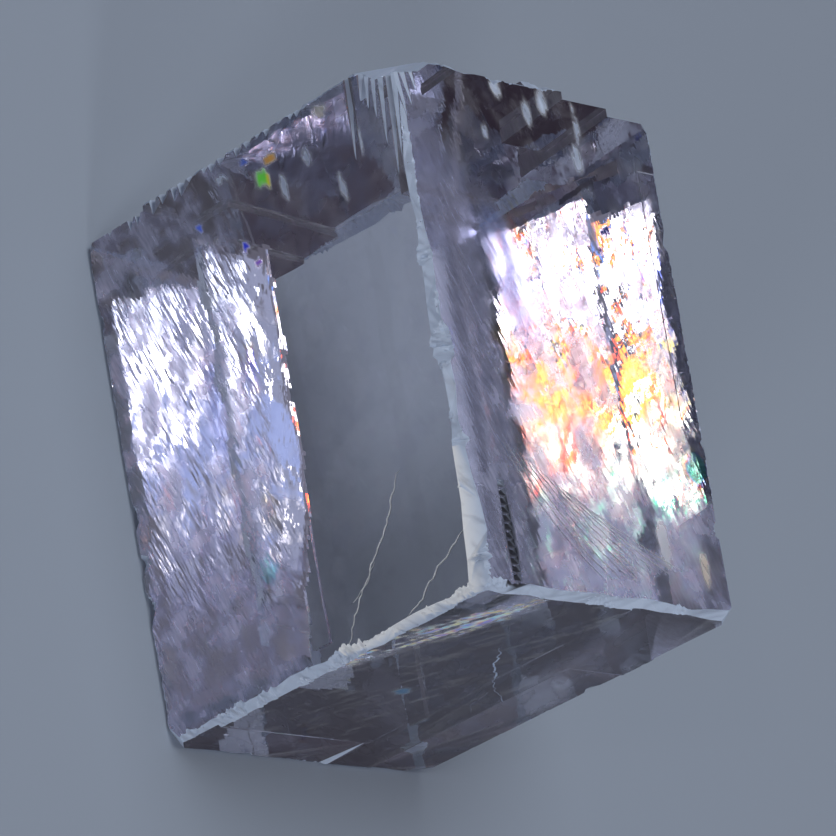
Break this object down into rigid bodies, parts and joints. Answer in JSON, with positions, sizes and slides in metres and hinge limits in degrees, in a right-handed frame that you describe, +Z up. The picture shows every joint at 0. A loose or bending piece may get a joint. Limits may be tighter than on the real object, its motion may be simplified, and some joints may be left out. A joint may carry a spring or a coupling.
{
  "type": "calcite cleavage block",
  "caption": "Clear rhombohedral calcite block, lying on one cleavage face, with frosted worn edges, a fluted chip and a broken, toothed end.",
  "frame": {"origin": "centre of the bounding box, at the height of the face that the block rests on", "axes": "+Z up from the resting face, +X along the long edges from the broken end to the whole end, +Y from the front face towards the back face"},
  "size_m": [0.0402, 0.0252, 0.025],
  "materials": {
    "calcite": "clear cleavage faces, frosted on worn edges, chips and cracks"
  },
  "bodies": {
    "root": {"calcite_block": "calcite"}
  },
  "joints": []
}
